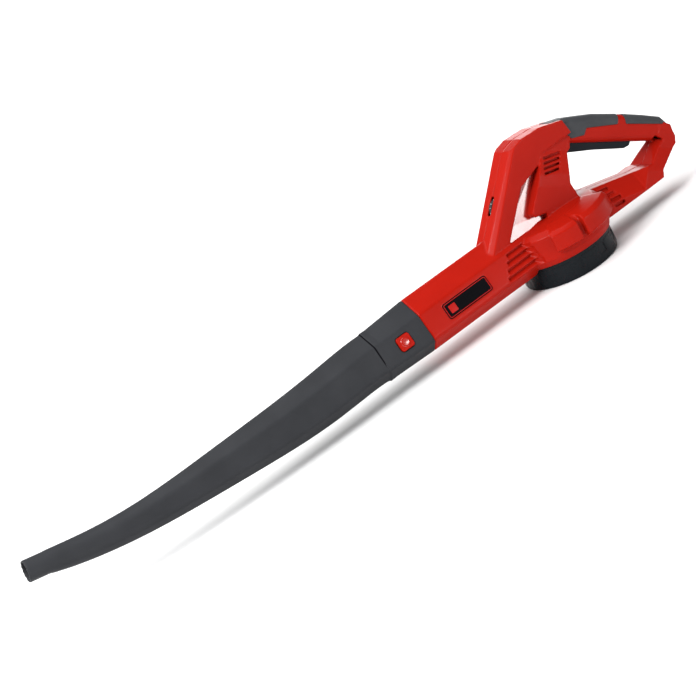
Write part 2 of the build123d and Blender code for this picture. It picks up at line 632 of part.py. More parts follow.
def make_motor_lead(side, r=WIRE_R):
    return wire([(15.5, 5 * side, 99.3), (23.5, 8 * side, 93), (25.5, 9 * side, 78), (32, 9 * side, 66.5),
                 (48, 9 * side, 62.8), (57, 9 * side, 61.4), (64, 9 * side, 60.3), (72, 9 * side, 55),
                 (78, 11 * side, BOARD_Z + 1.8)], r)


def make_switch_lead(side, r=WIRE_R):
    s_end = grip_point(SWITCH_S[0] - 4.5, 157.5)
    return wire([(s_end[0], 2.2 * side, s_end[1]), (40, 4 * side, 138), (26, 5 * side, 120),
                 (25.5, 12.5 * side, 95), (29, 13.5 * side, 78), (36, 13.5 * side, 65.6),
                 (50, 13 * side, 62.4), (58, 13 * side, 61.2), (64, 13 * side, 60.2), (72, 13 * side, 55),
                 (76, 15 * side, BOARD_Z + 1.8)], r)


def wire_channels():
    """Room for the leads where they pass the ribs, the motor plate and the end cap."""
    r = WIRE_R + 0.35
    return make_motor_lead(-1, r) + make_motor_lead(1, r) + make_switch_lead(-1, r) + make_switch_lead(1, r)


def make_battery_lead(side):
    x = BAY_X0 + 5
    return wire([(x, 9 * side, BAY_ROOF - 1.5), (x - 1, 9 * side, BAY_ROOF + 1.4),
                 (x - 9, 9 * side, BAY_ROOF + 1.2), (x - 17.5, 9 * side, BAY_ROOF + 1.1),
                 (x - 20.3, 8.5 * side, BOARD_Z + 0.3), (x - 18.4, 8 * side, BOARD_Z + 3.4),
                 (x - 15, 7 * side, BOARD_Z + 3.6)])


# ---------------------------------------------------------------- name plate
def make_name_plate():
    plate = on_side(91, -0.8, RectangleRounded(PLATE_LONG, PLATE_HIGH, 3.0), 0.1, 1.0)
    return plate


# ---------------------------------------------------------------- housing
def side_y(z):
    """The duct's side face: how far it stands from Y = 0 at a height."""
    return DUCT_SHOULDER[0] + (DUCT_SHOULDER[1] - z) * (DUCT_HIP[0] - DUCT_SHOULDER[0]) / (DUCT_SHOULDER[1]
                                                                                         - DUCT_HIP[1])


def beam_side(x, z):
    """How far the beam's side stands from Y = 0 at a place along it."""
    (x0, z0), (x1, z1) = BEAM_TOP
    below = z0 + (z1 - z0) * (x - x0) / (x1 - x0) - z
    (wide, deep), (narrow, top) = BEAM_SIDES[1], BEAM_SIDES[2]
    return min(wide, narrow + (wide - narrow) * below / (top - deep))


def slanted_slot(x, z, length, width, angle, y0, y1):
    slot = Pos(x, (y0 + y1) / 2, z) * Rot(0, -angle, 0) * Box(length, y1 - y0, width)
    return slot


def vents_and_louvres():
    cuts = None
    for side in (-1, 1):
        for k in range(4):
            z = LOUVRE_TOP - LOUVRE_PITCH * k
            floor, x0 = side_y(z) - 3.4, LOUVRE_FRONT - 0.62 * LOUVRE_PITCH * k
            tooth = [(side * floor, z - 0.2), (side * (floor + 12), z + 0.8), (side * (floor + 12), z - 7.9),
                     (side * (side_y(z - 5.4) + 0.3), z - 5.4), (side * floor, z - 2.0)]
            groove = along_x(tooth, x0, LOUVRE_REAR) - post(VOLUTE_INNER_R + 1.3, 0, 70)
            cuts = groove if cuts is None else cuts + groove
            y0, y1 = min(side * 14, side * 32), max(side * 14, side * 32)
            cuts += slanted_slot(29.5 - 3.7 * k, 127.0 - 4.7 * k, 25 - k, 2.5, -13, y0, y1)
        for x, z, length in REAR_VENTS:
            floor = beam_side(x, z) - 3.2
            y0, y1 = min(side * floor, side * 34), max(side * floor, side * 34)
            cuts += slanted_slot(x, z, length, 3.6, -8, y0, y1) - post(VOLUTE_INNER_R + 1.5, 0, 70)
    return cuts


def vent_screens():
    """The inner walls behind the beam's slots, which keep splashes off the control board."""
    screens = block(54, BAY_X0 - 0.6, 17.6, 19.2, 26, 66) + block(54, BAY_X0 - 0.6, -19.2, -17.6, 26, 66)
    return screens - post(VOLUTE_INNER_R + 1, 0, 100)


def column_body(inset=0.0):
    face = outline(COLUMN)
    if inset:
        face = offset(face, -inset, kind=Kind.INTERSECTION)
    column = extrude(Plane.XZ * face, amount=COLUMN_HALF - inset, both=True)
    for side in (-1, 1):
        faces = []
        for along, leg in ((-20, 6.6 - inset * 0.3), (150, 3.0 - inset * 0.3)):
            x, z = COLUMN[0][0] + C[0] * along, COLUMN[0][1] + C[1] * along
            back = (x - M[0] * (leg + inset), z - M[1] * (leg + inset))
            ahead = (x + M[0] * 4, z + M[1] * 4)
            edge = side * (COLUMN_HALF - inset)
            corner = [(back[0], edge + side, back[1]), (ahead[0], edge + side, ahead[1]),
                      (ahead[0], edge - side * leg, ahead[1]),
                      (x - M[0] * inset, edge - side * leg, z - M[1] * inset), (back[0], edge, back[1])]
            faces.append(make_face(Polyline(*corner, close=True)))
        column -= loft(faces, ruled=True)
    return column


def housing_outside():
    body = duct() + volute_skin()
    body += beam_body() + leg_body() + frame_body(TOWER)
    body += column_body() + prism(WEB, WEB_HALF) + post(MOTOR_R + 2.3, 60, 79)     # and the motor's boss
    body += grip_body()
    body += sleeve_solid(DUCT_FRONT, SPIGOT_END, 2.7)
    return body - post(GUARD_R, 0, RIM_Z) - leg_edge_cuts()


def housing_hollow():
    air = duct(WALL) & block(DUCT_FRONT + 5, -56, -40, 40, 0, 100)
    air -= block(-101, -43, -40, 40, 38, 68) - along_x(shield(5.2), -102, -42)      # thicker behind the louvres
    air += sleeve_solid(DUCT_FRONT + 6, SPIGOT_END - 1, 5.0)
    air += post(VOLUTE_INNER_R, VOLUTE_FLOOR, VOLUTE_CEILING) + post(INLET_R, 20, VOLUTE_FLOOR + 1)
    dry = frame_body(TOWER, WALL) + column_body(WALL) + prism(WEB, WEB_HALF - WALL)
    dry -= block(-130, 70, -60, 60, 0, VOLUTE_CEILING)
    dry -= duct() & block(-130, -53, -60, 60, 0, 100)
    dry += spun([(0, VOLUTE_CEILING - 0.5), (56, VOLUTE_CEILING - 0.5), (56, 64.2), (30, DOME_Z - 2.6),
                 (0, DOME_Z - 2.6)])
    dry += (beam_body(WALL) + leg_body(WALL)) - post(VOLUTE_INNER_R + WALL, 0, VOLUTE_CEILING)
    dry -= vent_screens()
    dry += grip_body(-2.4)
    return air + (dry - leg_edge_cuts(2.6))


def screw_posts(outside):
    posts = None
    for x, z, seat in SCREWS:
        boss = cross_pin(4.6, x, z, -14, 40)
        posts = boss if posts is None else posts + boss
    return posts & outside


def screw_holes():
    holes = None
    for x, z, seat in SCREWS:
        hole = cross_pin(1.6, x, z, -11, seat + 1) + cross_pin(3.5, x, z, seat, 60)
        holes = hole if holes is None else holes + hole
    return holes


def make_housing_screws():
    screws = None
    for x, z, seat in SCREWS:
        screw = cross_pin(1.6, x, z, -11, seat) + cross_pin(3.2, x, z, seat, seat + 2.6)
        screw -= block(x - 2.2, x + 2.2, seat + 1.4, seat + 3, z - 0.45, z + 0.45)
        screw -= block(x - 0.45, x + 0.45, seat + 1.4, seat + 3, z - 2.2, z + 2.2)
        screws = screw if screws is None else screws + screw
    return screws


def make_housing():
    outside = housing_outside()
    body = outside - housing_hollow() - post(MOTOR_R + 0.5, VOLUTE_CEILING, MOTOR_TOP + 2)
    rib = (frame_body(TOWER, WALL - 0.5) & block(-60, 70, -40, 40, 94, 96)) - post(MOTOR_R, 90, 100)
    rib -= block(MOTOR_R - 3, 40, -16, 16, 90, 100) + block(-60, -12, -8, 8, 90, 100)
    body += rib
    pocket, pocket_room = latch_pocket()
    body += pocket
    body += screw_posts(outside) - post(MOTOR_R + 0.2, 60, 100)
    pin_boss = cross_pin(4.4, *TRIGGER_PIVOT, -16, 16) & outside
    body += pin_boss
    body -= cross_pin(2.0, *TRIGGER_PIVOT, -13.5, 13.5) + pocket_room + trigger_room()
    body -= cross_pin(3.6, *TRIGGER_PIVOT, -12.8, -9.0)
    body -= vents_and_louvres() + screw_holes()
    body -= make_pad(PAD_FRONT) + make_pad(PAD_REAR)
    body -= cross_pin(DIAL_R + 0.8, *DIAL_CENTRE, -DIAL_HALF - 0.5, DIAL_HALF + 0.5)
    slot = DIAL_CENTRE[0] + 12 * M[0], DIAL_CENTRE[1] + 12 * M[1]
    body -= slanted_slot(slot[0], slot[1], 22, 8, COLUMN_ANGLE, -DIAL_HALF - 0.6, DIAL_HALF + 0.6)
    body -= block(DIAL_CENTRE[0] - 6, DIAL_CENTRE[0] + 6, 3.0, 8.6, DIAL_CENTRE[1] - 6, DIAL_CENTRE[1] + 6)
    body -= cross_pin(2.4, *DIAL_CENTRE, -6, 4)
    body -= block(BAY_X0, 172, -BAY_HALF, BAY_HALF, 20, BAY_ROOF)
    body -= on_side(91, -0.8, RectangleRounded(PLATE_LONG, PLATE_HIGH, 3.0), 0.1, 3)
    body -= make_guard_screws() + wire_channels()
    return body


def halves(body):
    left = body & block(-400, 400, -100, 0, -10, 300)
    right = body & block(-400, 400, 0, 100, -10, 300)
    return biggest(left), biggest(right)


def biggest(shape):
    return max(shape.solids(), key=lambda piece: piece.volume)


def main():
    os.makedirs("parts", exist_ok=True)
    left, right = halves(make_housing())
    pieces = {
        "housing_left": left, "housing_right": right, "blow_tube": make_blow_tube(),
        "latch_button": make_latch_button(), "latch_spring": make_latch_spring(), "name_plate": make_name_plate(),
        "grip_pad_front": make_pad(PAD_FRONT), "grip_pad_rear": make_pad(PAD_REAR),
        "trigger": make_trigger(), "trigger_pin": make_trigger_pin(), "trigger_spring": make_trigger_spring(),
        "switch_module": make_switch(), "speed_dial": make_speed_dial(), "speed_sensor": make_speed_sensor(),
        "motor_can": make_motor_can(), "motor_magnets": make_magnets(), "motor_end_cap": make_end_cap() - wire_channels(),
        "carbon_brushes": make_brushes(), "lower_bearing": make_bearing(MOTOR_BOTTOM),
        "upper_bearing": make_bearing(MOTOR_TOP - 5), "motor_screws": make_motor_screws(),
        "rotor_shaft": make_shaft(), "armature_core": make_armature(), "armature_windings": make_windings(),
        "commutator": make_commutator(), "impeller": make_impeller(), "impeller_nut": make_fan_nut(),
        "motor_plate": make_motor_plate() - wire_channels(), "inlet_cone": make_inlet_cone(), "intake_ring": make_intake_ring(),
        "intake_grille": make_intake_grille(), "guard_screws": make_guard_screws(),
        "battery_rails": make_battery_rails(), "terminal_block": make_terminal_block(),
        "contact_blades": make_contact_blades(), "control_board": make_control_board(),
        "board_components": make_board_parts(), "board_spacers": make_board_posts(),
        "motor_lead_red": make_motor_lead(-1), "motor_lead_black": make_motor_lead(1),
        "switch_lead_white": make_switch_lead(-1), "switch_lead_blue": make_switch_lead(1),
        "battery_lead_red": make_battery_lead(-1), "battery_lead_black": make_battery_lead(1),
        "housing_screws": make_housing_screws(),
    }
    for name, piece in pieces.items():
        export_step(piece, f"parts/{name}.step")


if __name__ == "__main__":
    main()
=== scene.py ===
"""Looks of the leaf blower: camera, studio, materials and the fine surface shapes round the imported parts.

The scene is in metres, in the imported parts' frame. Sizes that carry MM are written in millimetres.
"""
from math import cos, pi, radians, sin

import bmesh
import bpy
from mathutils import Matrix, Quaternion, Vector


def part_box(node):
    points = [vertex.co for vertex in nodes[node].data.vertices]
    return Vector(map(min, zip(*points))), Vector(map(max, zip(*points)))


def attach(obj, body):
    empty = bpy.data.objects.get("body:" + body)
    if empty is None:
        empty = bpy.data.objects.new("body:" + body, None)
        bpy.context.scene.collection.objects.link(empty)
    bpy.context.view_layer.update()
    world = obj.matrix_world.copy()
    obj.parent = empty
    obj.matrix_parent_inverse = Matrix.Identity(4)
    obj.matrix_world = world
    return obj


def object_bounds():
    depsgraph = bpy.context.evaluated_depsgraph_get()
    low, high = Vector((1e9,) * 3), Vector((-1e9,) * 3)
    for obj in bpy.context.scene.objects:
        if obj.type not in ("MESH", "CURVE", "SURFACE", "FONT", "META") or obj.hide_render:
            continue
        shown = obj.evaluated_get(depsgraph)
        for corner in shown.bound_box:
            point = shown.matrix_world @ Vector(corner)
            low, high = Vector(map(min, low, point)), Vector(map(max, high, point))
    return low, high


MM = 0.001
SIDE_TILT = radians(16.0)           # lean of the duct's side faces
SIDE_OUT = Vector((0, -cos(SIDE_TILT), sin(SIDE_TILT)))
SIDE_UP = Vector((0, sin(SIDE_TILT), cos(SIDE_TILT)))
COLUMN_ANGLE = radians(45.2)        # slope of the column's front

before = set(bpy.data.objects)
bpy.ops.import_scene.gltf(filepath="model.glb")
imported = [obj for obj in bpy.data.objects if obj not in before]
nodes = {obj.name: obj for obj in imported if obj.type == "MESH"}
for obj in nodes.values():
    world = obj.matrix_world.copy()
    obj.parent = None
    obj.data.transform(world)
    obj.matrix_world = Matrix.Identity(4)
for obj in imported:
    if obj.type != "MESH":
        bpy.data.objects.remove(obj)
cad_low, cad_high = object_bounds()


# ---------------------------------------------------------------- camera, studio
CAMERA_PLACE = Vector((-0.9584, -1.7214, 0.6395))
CAMERA_AIM = Vector((-0.2938, 0.0, 0.0769))
CAMERA_ROLL = radians(-29.45)
CAMERA_LENS, CAMERA_SENSOR = 91.55, 36.0
CAMERA_NEAR, CAMERA_FAR = 0.05, 400.0

SKY_STRENGTH = 0.30
CEILING_STRENGTH, CEILING_SPREAD = 3.7, radians(85)
CEILING_DIRECTION = Vector((0.40, -0.14, -1.0))
CARDS = (
    # name, place, aim, width, height, watts
    ("side_card", (0.60, -1.36, 0.17), (-0.10, 0.0, 0.06), 0.7, 0.26, 5.0),
    ("front_card", (-0.9, -0.45, 0.9), (-0.15, 0.0, 0.08), 0.4, 0.4, 12.0),
    ("back_card", (1.05, 1.90, 0.42), (0.10, 0.0, 0.06), 1.6, 0.5, 15.0),
)
FLOOR_REACH = 90.0
FLOOR_DROP = 0.4 * MM       # keeps the floor off the ring's flat underside
FLOOR_WHITE, FLOOR_ROUGHNESS, FLOOR_SPECULAR = 0.84, 0.9, 0.1


def look_along(thing, direction, roll=0.0):
    """Points a camera or light along a direction, turned about it by the roll."""
    thing.rotation_mode = "QUATERNION"
    thing.rotation_quaternion = direction.to_track_quat("-Z", "Y") @ Quaternion((0, 0, 1), roll)


def put(name, data):
    made = bpy.data.objects.new(name, data)
    bpy.context.scene.collection.objects.link(made)
    return made


def make_camera():
    """A long lens from the front left and a little above, rolled so that the tube runs down to the left."""
    data = bpy.data.cameras.new("camera")
    data.lens, data.sensor_width = CAMERA_LENS, CAMERA_SENSOR
    data.clip_start, data.clip_end = CAMERA_NEAR, CAMERA_FAR
    camera = put("camera", data)
    camera.location = CAMERA_PLACE
    look_along(camera, CAMERA_AIM - CAMERA_PLACE, CAMERA_ROLL)
    bpy.context.scene.camera = camera


def make_sky():
    world = bpy.data.worlds.new("studio")
    world.use_nodes = True
    sky = world.node_tree.nodes["Background"]
    sky.inputs["Color"].default_value = (1.0, 1.0, 1.0, 1.0)
    sky.inputs["Strength"].default_value = SKY_STRENGTH
    bpy.context.scene.world = world
    bpy.context.scene.view_settings.view_transform = "Standard"


def make_lights():
    """A broad soft ceiling and three white cards."""
    daylight = bpy.data.lights.new("ceiling", "SUN")
    daylight.energy, daylight.angle = CEILING_STRENGTH, CEILING_SPREAD
    look_along(put("ceiling", daylight), CEILING_DIRECTION)
    for name, place, aim, wide, high, watts in CARDS:
        card = bpy.data.lights.new(name, "AREA")
        card.shape = "RECTANGLE"
        card.size, card.size_y = wide, high
        card.energy = watts
        lamp = put(name, card)
        lamp.location = place
        look_along(lamp, Vector(aim) - Vector(place))


def make_floor():
    mesh = bpy.data.meshes.new("floor")
    corners = [(x * FLOOR_REACH, y * FLOOR_REACH, 0) for x, y in ((-1, -1), (1, -1), (1, 1), (-1, 1))]
    mesh.from_pydata(corners, [], [(0, 1, 2, 3)])
    floor = put("floor", mesh)
    floor.location.z = cad_low.z - FLOOR_DROP
    material = bpy.data.materials.new("floor_white")
    material.use_nodes = True
    shader = material.node_tree.nodes["Principled BSDF"]
    shader.inputs["Base Color"].default_value = (FLOOR_WHITE, FLOOR_WHITE, FLOOR_WHITE, 1.0)
    shader.inputs["Roughness"].default_value = FLOOR_ROUGHNESS
    shader.inputs["Specular IOR Level"].default_value = FLOOR_SPECULAR
    mesh.materials.append(material)


# ---------------------------------------------------------------- materials
# Texture scales are in features to the metre, bump depths in metres
TONE_PATCHES, GLOSS_PATCHES = 22.0, 140.0
GRAIN_DEPTH, LAY_DEPTH = 0.12 * MM, 0.08 * MM
NOISE_LOW, NOISE_HIGH = 0.3, 0.7        # the part of a noise's range that holds nearly all of it
COAT_ROUGHNESS = 0.12


class Graph:
    """A material's node tree with short calls for what every finish here needs."""

    def __init__(self, name):
        self.material = bpy.data.materials.new(name)
        self.material.use_nodes = True
        self.tree = self.material.node_tree
        self.shader = self.tree.nodes["Principled BSDF"]
        self.place = self.tree.nodes.new("ShaderNodeTexCoord").outputs["Object"]

    def node(self, kind, **inputs):
        made = self.tree.nodes.new(kind)
        for key, value in inputs.items():
            socket = made.inputs[key.replace("_", " ")]
            if isinstance(value, bpy.types.NodeSocket):
                self.tree.links.new(value, socket)
            else:
                socket.default_value = value
        return made

    def noise(self, scale, detail=3.0, roughness=0.5, vector=None):
        made = self.node("ShaderNodeTexNoise", Scale=scale, Detail=detail, Roughness=roughness)
        self.tree.links.new(vector or self.place, made.inputs["Vector"])
        return made.outputs["Fac"]

    def ramp(self, value, stops):
        """A colour that goes from the first (position, colour) stop to the second."""
        made = self.node("ShaderNodeValToRGB", Fac=value)
        for element, stop in zip(made.color_ramp.elements, stops):
            element.position, element.color = stop
        return made.outputs["Color"]

    def spread(self, value, low, high):
        """A noise or distance stretched over a range."""
        made = self.node("ShaderNodeMapRange", Value=value)
        made.inputs["From Min"].default_value, made.inputs["From Max"].default_value = NOISE_LOW, NOISE_HIGH
        made.inputs["To Min"].default_value, made.inputs["To Max"].default_value = low, high
        return made.outputs["Result"]

    def set(self, **values):
        for key, value in values.items():
            self.shader.inputs[key.replace("_", " ")].default_value = value

    def link(self, output, name):
        self.tree.links.new(output, self.shader.inputs[name])

    def bump(self, height, strength, distance, under=None):
        made = self.node("ShaderNodeBump", Height=height, Strength=strength, Distance=distance)
        if under is not None:
            self.tree.links.new(under, made.inputs["Normal"])
        return made.outputs["Normal"]


def shade(colour, factor):
    return tuple(min(1.0, c * factor) for c in colour[:3]) + (1.0,)


def mottled(colour, dark, light):
    """Ramp stops from a darker to a lighter shade of a colour."""
    return [(NOISE_LOW, shade(colour, dark)), (NOISE_HIGH, shade(colour, light))]


def moulded(name, colour, rough, grain_scale, grain, patch=0.06, coat=0.0, specular=0.5):
    """Moulded plastic or rubber: slow shifts of tone and gloss, and a fine mould grain."""
    g = Graph(name)
    slow = g.noise(TONE_PATCHES, 2.0)
    g.link(g.ramp(slow, mottled(colour, 1 - patch, 1 + patch)), "Base Color")
    g.link(g.spread(g.noise(GLOSS_PATCHES, 4.0, 0.6), rough * 0.88, rough * 1.14), "Roughness")
    g.link(g.bump(g.noise(grain_scale, 3.0, 0.6), grain, GRAIN_DEPTH), "Normal")
    g.set(Specular_IOR_Level=specular, Coat_Weight=coat, Coat_Roughness=COAT_ROUGHNESS)
    return g.material


def stippled(name, colour, rough, pitch):
    """An overmoulded grip: small round dimples over a soft grey rubber."""
    g = Graph(name)
    cells = g.node("ShaderNodeTexVoronoi", Scale=1.0 / pitch)
    g.tree.links.new(g.place, cells.inputs["Vector"])
    dots = g.spread(cells.outputs["Distance"], 0.0, 1.0)
    tone_patches, gloss_patches, grain_scale, grain_depth = 30.0, 200.0, 2600.0, 0.1 * MM
    g.link(g.ramp(g.noise(tone_patches, 3.0), mottled(colour, 0.86, 1.16)), "Base Color")
    g.link(g.spread(g.noise(gloss_patches), rough * 0.9, rough * 1.1), "Roughness")
    dimples = g.bump(dots, 0.35, GRAIN_DEPTH)
    g.link(g.bump(g.noise(grain_scale, 2.0), 0.25, grain_depth, dimples), "Normal")
    g.set(Specular_IOR_Level=0.20, Sheen_Weight=0.06, Sheen_Roughness=0.5)
    return g.material


def metal(name, colour, rough, stretch=(1, 1, 60), grain=0.12):
    """Drawn, turned or pressed metal with a fine lay across it."""
    g = Graph(name)
    mapping = g.node("ShaderNodeMapping", Vector=g.place)
    mapping.inputs["Scale"].default_value = stretch
    lay_scale = 90.0
    lay = g.noise(lay_scale, 4.0, 0.65, mapping.outputs["Vector"])
    g.link(g.ramp(lay, mottled(colour, 0.82, 1.1)), "Base Color")
    g.link(g.spread(lay, rough * 0.75, rough * 1.3), "Roughness")
    g.link(g.bump(lay, grain, LAY_DEPTH), "Normal")
    g.set(Metallic=1.0)
    return g.material


def board(name, colour):
    """Solder mask over copper traces, with the traces a shade lighter and proud."""
    g = Graph(name)
    trace_scale = 90.0
    bricks = g.node("ShaderNodeTexBrick", Scale=trace_scale, Mortar_Size=0.03, Brick_Width=0.9,
                    Row_Height=0.22)
    g.tree.links.new(g.place, bricks.inputs["Vector"])
    bricks.inputs["Color1"].default_value = shade(colour, 1.0)
    bricks.inputs["Color2"].default_value = shade(colour, 0.8)
    bricks.inputs["Mortar"].default_value = shade(colour, 1.8)
    g.link(bricks.outputs["Color"], "Base Color")
    g.link(g.spread(g.noise(150.0), 0.25, 0.4), "Roughness")
    g.link(g.bump(bricks.outputs["Fac"], 0.3, LAY_DEPTH), "Normal")
    return g.material


def make_materials():
    """Every finish, by the name that SLOT_OF and the made pieces use."""
    red = (0.315, 0.0075, 0.003)
    return {
        "red_shell": moulded("red_shell", red, 0.32, 1500, 0.08, 0.05, coat=0.05, specular=0.04),
        "red_gloss": moulded("red_gloss", red, 0.20, 1500, 0.04, 0.05, coat=1.0, specular=0.9),
        "black_tube": moulded("black_tube", (0.028, 0.029, 0.032), 0.34, 1900, 0.20, 0.10, specular=0.04),
        "ring_black": moulded("ring_black", (0.004, 0.006, 0.008), 0.28, 1700, 0.18, 0.12, specular=0.12),
        "soft_grip": stippled("soft_grip", (0.032, 0.034, 0.038), 0.6, 0.0011),
        "plate_black": moulded("plate_black", (0.003, 0.003, 0.004), 0.45, 1400, 0.06, 0.10, specular=0.02),
        "trigger_grey": moulded("trigger_grey", (0.010, 0.012, 0.015), 0.40, 1700, 0.25, 0.08, specular=0.05),
        "dial_black": moulded("dial_black", (0.014, 0.014, 0.015), 0.45, 1800, 0.25, 0.1),
        "black_plastic": moulded("black_plastic", (0.020, 0.021, 0.023), 0.45, 1700, 0.25, 0.1),
        "fan_plastic": moulded("fan_plastic", (0.028, 0.028, 0.030), 0.42, 1500, 0.2, 0.1),
        "component_black": moulded("component_black", (0.014, 0.014, 0.014), 0.5, 1600, 0.2, 0.1),
        "wire_red": moulded("wire_red", (0.42, 0.012, 0.012), 0.5, 2400, 0.2, 0.08),
        "wire_black": moulded("wire_black", (0.010, 0.010, 0.010), 0.5, 2400, 0.2, 0.08),
        "wire_white": moulded("wire_white", (0.70, 0.70, 0.68), 0.5, 2400, 0.2, 0.05),
        "wire_blue": moulded("wire_blue", (0.015, 0.08, 0.35), 0.5, 2400, 0.2, 0.08),
        "steel": metal("steel", (0.56, 0.57, 0.58), 0.30, (1, 40, 1)),
        "spring_steel": metal("spring_steel", (0.42, 0.43, 0.44), 0.28, (20, 20, 20)),
        "motor_steel": metal("motor_steel", (0.55, 0.56, 0.57), 0.32, (1, 1, 50)),
        "lamination": metal("lamination", (0.30, 0.31, 0.32), 0.45, (1, 1, 130), 0.4),
        "ferrite": moulded("ferrite", (0.045, 0.045, 0.048), 0.7, 900, 0.5, 0.15),
        "carbon": moulded("carbon", (0.030, 0.030, 0.030), 0.6, 1200, 0.5, 0.15),
        "copper": metal("copper", (0.72, 0.25, 0.10), 0.30, (30, 30, 160), 0.35),
        "contact_brass": metal("contact_brass", (0.78, 0.50, 0.18), 0.25, (60, 1, 1)),
        "board_green": board("board_green", (0.015, 0.11, 0.04)),
        "mark_pale": moulded("mark_pale", (0.50, 0.50, 0.48), 0.5, 1800, 0.2, 0.05),
        "emblem_red": moulded("emblem_red", (0.34, 0.008, 0.006), 0.35, 1600, 0.1, 0.05, specular=0.1),
    }


SLOT_OF = {
    "red_shell": ("housing_left", "housing_right", "latch_button"),
    "black_tube": ("blow_tube",),
    "ring_black": ("intake_ring", "intake_grille", "inlet_cone"),
    "soft_grip": ("grip_pad_front", "grip_pad_rear"),
    "plate_black": ("name_plate",),
    "trigger_grey": ("trigger",),
    "dial_black": ("speed_dial",),
    "black_plastic": ("switch_module", "speed_sensor", "motor_end_cap", "motor_plate", "battery_rails",
                      "terminal_block", "board_spacers"),
    "fan_plastic": ("impeller",),
    "component_black": ("board_components",),
    "wire_red": ("motor_lead_red", "battery_lead_red"),
    "wire_black": ("motor_lead_black", "battery_lead_black"),
    "wire_white": ("switch_lead_white",),
    "wire_blue": ("switch_lead_blue",),
    "steel": ("trigger_pin", "lower_bearing", "upper_bearing", "motor_screws", "rotor_shaft", "impeller_nut",
              "guard_screws", "housing_screws"),
    "spring_steel": ("latch_spring", "trigger_spring"),
    "motor_steel": ("motor_can",),
    "lamination": ("armature_core",),
    "ferrite": ("motor_magnets",),
    "carbon": ("carbon_brushes",),
    "copper": ("armature_windings", "commutator"),
    "contact_brass": ("contact_blades",),
    "board_green": ("control_board",),
}


# ---------------------------------------------------------------- surface shapes on the CAD pieces
SHELL_VOXEL, TUBE_VOXEL, PAD_VOXEL = 0.9 * MM, 1.0 * MM, 0.6 * MM
SHARP_EDGE = 0.35 * MM
CREASE = radians(28)


def soften(node, voxel, passes):
    """Rounds every edge of a moulded shell by about a voxel, as its mould does."""
    o = nodes[node]
    remesh = o.modifiers.new("skin", "REMESH")
    remesh.mode, remesh.adaptivity = "VOXEL", 0.0
    remesh.voxel_size = voxel
    remesh.use_smooth_shade = True
    ease = o.modifiers.new("ease", "SMOOTH")
    ease.factor, ease.iterations = 0.5, passes


def bevel(node, width):
    """Breaks a plain piece's sharp edges."""
    edge = nodes[node].modifiers.new("edge", "BEVEL")
    edge.width, edge.segments = width, 2
    edge.limit_method, edge.angle_limit = "ANGLE", radians(35)
    edge.harden_normals = True


def soften_all():
    for name in ("housing_left", "housing_right"):
        soften(name, SHELL_VOXEL, 3)
    soften("blow_tube", TUBE_VOXEL, 4)
    for name in ("trigger", "grip_pad_front", "grip_pad_rear"):
        soften(name, PAD_VOXEL, 3)
    for name in ("latch_button", "name_plate"):
        bevel(name, SHARP_EDGE)


# ---------------------------------------------------------------- made pieces
def add_piece(name, bm, material, body="housing", smooth=True, creased=False):
    """Turns a bmesh into a visible piece that rides on a body; a creased one keeps its sharp edges."""
    mesh = bpy.data.meshes.new(name)
    bmesh.ops.recalc_face_normals(bm, faces=bm.faces)
    bm.to_mesh(mesh)
    bm.free()
    mesh.materials.append(material)
    o = put(name, mesh)
    for face in mesh.polygons:
        face.use_smooth = smooth
    if creased:
        edge = o.modifiers.new("edge", "EDGE_SPLIT")
        edge.split_angle = CREASE
    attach(o, body)


def skin(bm, rings):
    """Faces between each ring of vertices and the next."""
    for a, b in zip(rings, rings[1:]):
        for k in range(len(a)):
            after = (k + 1) % len(a)
            bm.faces.new((a[k], a[after], b[after], b[k]))


def solid(rings):
    """A closed solid through rings of points, with a flat face at each end."""
    bm = bmesh.new()
    made = [[bm.verts.new(p) for p in ring] for ring in rings]
    skin(bm, made)
    bm.faces.new(made[-1])
    bm.faces.new(list(reversed(made[0])))
    return bm


def hoop(rings):
    """A closed band: the last ring of points joins the first."""
    bm = bmesh.new()
    made = [[bm.verts.new(p) for p in ring] for ring in rings]
    skin(bm, made + made[:1])
    return bm


def circle(radius, count):
    return [(radius * cos(2 * pi * k / count), radius * sin(2 * pi * k / count)) for k in range(count)]


def rounded_ring(wide, high, corner, steps=6):
    """The corner points of a rounded rectangle, anticlockwise."""
    points = []
    for side, end, start in ((1, 1, 0), (-1, 1, 90), (-1, -1, 180), (1, -1, 270)):
        for k in range(steps + 1):
            a = radians(start + 90 * k / steps)
            x, y = side * (wide / 2 - corner), end * (high / 2 - corner)
            points.append((x + corner * cos(a), y + corner * sin(a)))
    return points


def raised_pad(place, outline, low, high, ease):
    """A solid tile with its top edge rounded over."""
    middle = Vector((sum(p[0] for p in outline) / len(outline), sum(p[1] for p in outline) / len(outline)))
    rings = []
    for factor, height in ((1.0, low), (1.0, high - ease), (0.985, high - ease * 0.3), (0.95, high)):
        flat = [middle + (Vector(p) - middle) * factor for p in outline]
        rings.append([place @ Vector((p.x, p.y, height)) for p in flat])
    return solid(rings)


def side_plane(centre):
    """A place on the duct's left side: X along the duct, Y up its slanted side, Z out of it."""
    axes = Matrix((Vector((1, 0, 0)), SIDE_UP, SIDE_OUT)).transposed().to_4x4()
    return Matrix.Translation(centre) @ axes


# ---------------------------------------------------------------- name plate
PLATE_HIGH, PLATE_HALF_THICK = 19.0 * MM, 0.45 * MM
BORDER_INSET, BORDER_WIDE, BORDER_CORNER = 1.1 * MM, 0.8 * MM, (2.4 * MM, 1.7 * MM)
BORDER_RISE, EMBLEM_RISE, BURIED = 0.30 * MM, 0.35 * MM, -0.2 * MM
EMBLEM_SIDE, EMBLEM_CORNER, EMBLEM_EASE, EMBLEM_FROM_END = 9.5 * MM, 0.9 * MM, 0.12 * MM, 10.5 * MM


